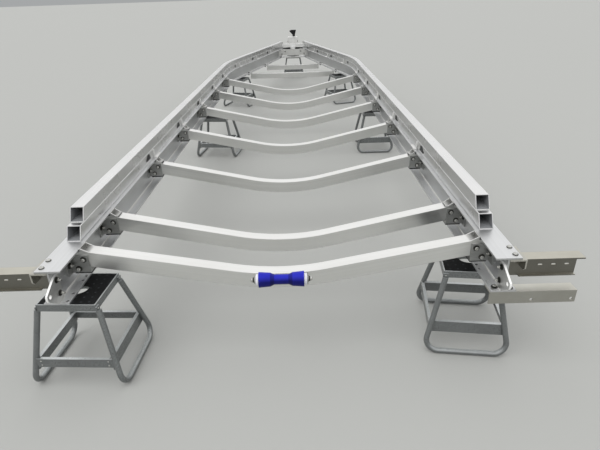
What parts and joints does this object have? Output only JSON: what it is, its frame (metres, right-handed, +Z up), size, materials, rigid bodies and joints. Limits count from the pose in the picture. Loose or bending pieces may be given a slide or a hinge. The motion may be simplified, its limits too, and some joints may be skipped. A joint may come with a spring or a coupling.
{
  "type": "boat trailer chassis on step stools",
  "caption": "Long aluminium boat-trailer chassis with converging beams, bent cross members, a keel roller and a ball coupling, standing on step stools.",
  "frame": {"origin": "on the floor under the middle of the whole trailer's box", "axes": "+X to the trailer's right, +Y forward to the coupling, +Z up"},
  "size_m": [2.412, 9.0293, 0.868],
  "materials": {
    "mill_aluminium": "bright mill finish",
    "plate_aluminium": "dull rolled plate",
    "zinc_steel": "zinc plated",
    "blue_polyurethane": "cast, satin",
    "white_nylon": "moulded",
    "grey_powder_coat": "powder coat",
    "black_rubber": "moulded mat",
    "black_plastic": "moulded grip"
  },
  "bodies": {
    "root": {"beam_left": "mill_aluminium", "beam_right": "mill_aluminium", "lower_tube_left": "mill_aluminium", "lower_tube_right": "mill_aluminium", "upper_tube_left": "mill_aluminium", "upper_tube_right": "mill_aluminium", "cross_member_1": "mill_aluminium", "cross_member_2": "mill_aluminium", "cross_member_3": "mill_aluminium", "cross_member_4": "mill_aluminium", "cross_member_5": "mill_aluminium", "cross_member_6": "mill_aluminium", "cross_member_7": "mill_aluminium", "cross_member_8": "mill_aluminium", "cross_member_9": "mill_aluminium", "saddles_left": "plate_aluminium", "saddles_right": "plate_aluminium", "saddle_feet": "black_rubber", "roller_bracket": "zinc_steel", "tie_down_plate_left": "plate_aluminium", "tie_down_plate_right": "plate_aluminium", "light_arm_bracket_left": "plate_aluminium", "light_arm_bracket_right": "plate_aluminium", "upper_outrigger_left": "plate_aluminium", "upper_outrigger_right": "plate_aluminium", "lower_outrigger_right": "plate_aluminium", "nose_plate": "plate_aluminium", "drawbar": "mill_aluminium", "head_tube": "mill_aluminium", "coupling_body": "zinc_steel", "coupling_head": "zinc_steel", "stool_1": "grey_powder_coat", "stool_2": "grey_powder_coat", "stool_3": "grey_powder_coat", "stool_4": "grey_powder_coat", "stool_5": "grey_powder_coat", "stool_6": "grey_powder_coat", "stool_7": "grey_powder_coat", "stool_mats": "black_rubber"},
    "roller": {"keel_roller": "blue_polyurethane", "roller_caps": "white_nylon"},
    "handle": {"coupling_handle": "black_plastic"}
  },
  "joints": [
    {"name": "roller_spin", "type": "hinge", "parent": "root", "child": "roller", "pos_m": [0.007, -4.326, 0.416], "axis": [1, 0, 0], "continuous": true},
    {"name": "handle_tilt", "type": "hinge", "parent": "root", "child": "handle", "pos_m": [0.0245, 4.124, 0.756], "axis": [1, 0, 0], "range_deg": [0, 50]}
  ]
}
